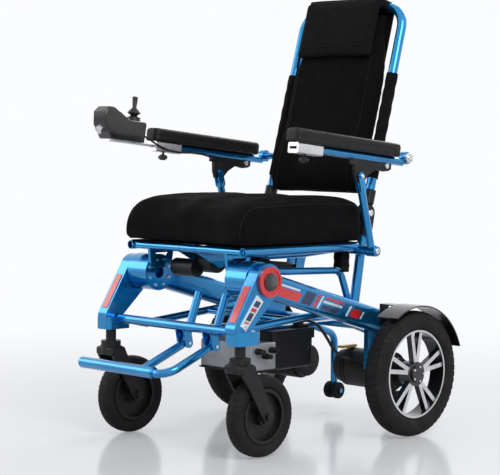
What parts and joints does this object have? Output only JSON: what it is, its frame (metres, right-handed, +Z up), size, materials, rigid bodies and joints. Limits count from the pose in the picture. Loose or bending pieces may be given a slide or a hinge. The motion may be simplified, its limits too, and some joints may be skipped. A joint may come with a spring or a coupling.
{
  "type": "power wheelchair",
  "caption": "Folding power wheelchair with blue tube frame, padded seat and back, hinged front legs on casters, driven rear wheels, flip-up foot bar and armrest joystick.",
  "frame": {"origin": "point on the floor midway under the rear axle", "axes": "+Z up, chair faces -Y, +X to the user's left side"},
  "size_m": [0.642, 0.869, 1.1278],
  "materials": {
    "frame_blue": "metallic blue gloss lacquer",
    "seat_fabric": "black knitted mesh fabric",
    "black_plastic": "satin black moulding",
    "bright_metal": "satin steel",
    "grey_case": "satin grey",
    "cable": "matt black sheath",
    "trim": "gloss red and silver trim",
    "tyre": "matt black tread",
    "alloy": "black and machined alloy",
    "yellow": "yellow plastic",
    "pad": "soft black polyurethane",
    "rubber": "matt black rubber"
  },
  "bodies": {
    "chassis": {"main_beam_left": "frame_blue", "main_beam_right": "frame_blue", "hub_barrels": "frame_blue", "seat_brackets": "frame_blue", "seat_frame": "frame_blue", "base_tubes": "frame_blue", "rear_struts": "frame_blue", "axle_frame": "frame_blue", "anti_tip_arms": "frame_blue", "seat_fabric": "seat_fabric", "seat_cushion": "seat_fabric", "lower_knuckles": "black_plastic", "fenders": "black_plastic", "motors": "black_plastic", "battery_case": "black_plastic", "actuator": "black_plastic", "pivot_tube": "bright_metal", "power_box": "grey_case", "motor_cable": "cable"},
    "front_legs": {"strut_left": "frame_blue", "strut_right": "frame_blue", "caster_housings": "frame_blue", "crossbar": "frame_blue", "strut_trim": "trim"},
    "link": {"link_frame": "frame_blue"},
    "caster_left": {"caster_fork_left": "black_plastic"},
    "caster_wheel_left": {"caster_tyre_left": "tyre", "caster_wheel_left": "black_plastic"},
    "rear_wheel_left": {"rear_tyre_left": "tyre", "rear_rim_left": "alloy"},
    "lever_left": {"freewheel_lever_left": "yellow"},
    "rollers_left": {"tip_rollers_left": "tyre"},
    "knob_left": {"clamp_knob_left": "black_plastic"},
    "caster_right": {"caster_fork_right": "black_plastic"},
    "caster_wheel_right": {"caster_tyre_right": "tyre", "caster_wheel_right": "black_plastic"},
    "rear_wheel_right": {"rear_tyre_right": "tyre", "rear_rim_right": "alloy"},
    "lever_right": {"freewheel_lever_right": "yellow"},
    "rollers_right": {"tip_rollers_right": "tyre"},
    "knob_right": {"clamp_knob_right": "black_plastic"},
    "foot_bar": {"foot_frame": "frame_blue", "foot_sleeve": "frame_blue"},
    "backrest": {"back_tube": "frame_blue", "arm_pivot_tube": "frame_blue", "upper_knuckles": "black_plastic", "back_cushion": "seat_fabric", "back_panel": "seat_fabric", "head_pillow": "seat_fabric"},
    "armrests": {"arm_pads": "pad", "arm_frames": "frame_blue", "arm_brackets": "black_plastic"},
    "posts": {"arm_posts": "frame_blue"},
    "controller": {"control_box": "black_plastic", "control_bar": "bright_metal", "control_cable": "cable"},
    "gimbal": {"joystick_boot": "rubber"},
    "stick": {"joystick": "black_plastic"},
    "power_button": {"power_button": "yellow"},
    "horn_button": {"horn_button": "black_plastic"}
  },
  "joints": [
    {"name": "frame_fold", "type": "hinge", "parent": "chassis", "child": "front_legs", "pos_m": [0, -0.473, 0.414], "axis": [1, 0, 0], "range_deg": [0, 28]},
    {"name": "link_pivot", "type": "hinge", "parent": "front_legs", "child": "link", "pos_m": [0, -0.512, 0.288], "axis": [1, 0, 0], "range_deg": [-28, 0]},
    {"name": "caster_swivel_left", "type": "hinge", "parent": "front_legs", "child": "caster_left", "pos_m": [0.231, -0.554, 0.255], "axis": [0, 0, 1], "continuous": true},
    {"name": "caster_spin_left", "type": "hinge", "parent": "caster_left", "child": "caster_wheel_left", "pos_m": [0.231, -0.488, 0.098], "axis": [1, 0, 0], "continuous": true},
    {"name": "wheel_spin_left", "type": "hinge", "parent": "chassis", "child": "rear_wheel_left", "pos_m": [0.29, 0, 0.16], "axis": [1, 0, 0], "continuous": true},
    {"name": "freewheel_turn_left", "type": "hinge", "parent": "chassis", "child": "lever_left", "pos_m": [0.096, 0, 0.208], "axis": [0, 0, 1], "range_deg": [0, 60]},
    {"name": "roller_spin_left", "type": "hinge", "parent": "chassis", "child": "rollers_left", "pos_m": [0.105, 0.152, 0.058], "axis": [1, 0, 0], "continuous": true},
    {"name": "knob_turn_left", "type": "hinge", "parent": "armrests", "child": "knob_left", "pos_m": [0.25, -0.36416, 0.71389], "axis": [0, 0.0941, 0.9956], "range_deg": [-180, 180]},
    {"name": "caster_swivel_right", "type": "hinge", "parent": "front_legs", "child": "caster_right", "pos_m": [-0.231, -0.554, 0.255], "axis": [0, 0, 1], "continuous": true},
    {"name": "caster_spin_right", "type": "hinge", "parent": "caster_right", "child": "caster_wheel_right", "pos_m": [-0.231, -0.488, 0.098], "axis": [1, 0, 0], "continuous": true},
    {"name": "wheel_spin_right", "type": "hinge", "parent": "chassis", "child": "rear_wheel_right", "pos_m": [-0.29, 0, 0.16], "axis": [1, 0, 0], "continuous": true},
    {"name": "freewheel_turn_right", "type": "hinge", "parent": "chassis", "child": "lever_right", "pos_m": [-0.096, 0, 0.208], "axis": [0, 0, 1], "range_deg": [-60, 0]},
    {"name": "roller_spin_right", "type": "hinge", "parent": "chassis", "child": "rollers_right", "pos_m": [-0.105, 0.152, 0.058], "axis": [1, 0, 0], "continuous": true},
    {"name": "knob_turn_right", "type": "hinge", "parent": "armrests", "child": "knob_right", "pos_m": [-0.25, -0.36416, 0.71389], "axis": [0, 0.0941, 0.9956], "range_deg": [-180, 180]},
    {"name": "foot_flip", "type": "hinge", "parent": "front_legs", "child": "foot_bar", "pos_m": [0, -0.536, 0.256], "axis": [-1, 0, 0], "range_deg": [0, 60]},
    {"name": "backrest_fold", "type": "hinge", "parent": "chassis", "child": "backrest", "pos_m": [0, -0.05, 0.565], "axis": [1, 0, 0], "range_deg": [0, 70], "deforming": ["seat_cushion"]},
    {"name": "armrest_pivot", "type": "hinge", "parent": "backrest", "child": "armrests", "pos_m": [0, 0.012, 0.706], "axis": [1, 0, 0], "range_deg": [-42, 0]},
    {"name": "post_pivot", "type": "hinge", "parent": "chassis", "child": "posts", "pos_m": [0, -0.113, 0.474], "axis": [1, 0, 0], "range_deg": [0, 53]},
    {"name": "controller_slide", "type": "slide", "parent": "armrests", "child": "controller", "axis": [0, -0.9956, 0.0941], "range_m": [0, 0.03]},
    {"name": "stick_tilt_y", "type": "hinge", "parent": "controller", "child": "gimbal", "pos_m": [-0.25, -0.46722, 0.79244], "axis": [1, 0, 0], "range_deg": [-18, 18], "stiffness_Nm_per_rad": 0.3},
    {"name": "stick_tilt_x", "type": "hinge", "parent": "gimbal", "child": "stick", "pos_m": [-0.25, -0.46722, 0.79244], "axis": [0, 0.9956, -0.0941], "range_deg": [-18, 18], "stiffness_Nm_per_rad": 0.3},
    {"name": "power_button_press", "type": "slide", "parent": "controller", "child": "power_button", "axis": [0, -0.5294, -0.8484], "range_m": [0, 0.0015], "stiffness_N_per_m": 400},
    {"name": "horn_button_press", "type": "slide", "parent": "controller", "child": "horn_button", "axis": [0, -0.5294, -0.8484], "range_m": [0, 0.0015], "stiffness_N_per_m": 400}
  ],
  "couplings": [
    {"joint": "link_pivot", "follows": "frame_fold", "ratio": -1},
    {"joint": "armrest_pivot", "follows": "backrest_fold", "ratio": -0.59},
    {"joint": "post_pivot", "follows": "backrest_fold", "ratio": 0.756}
  ]
}
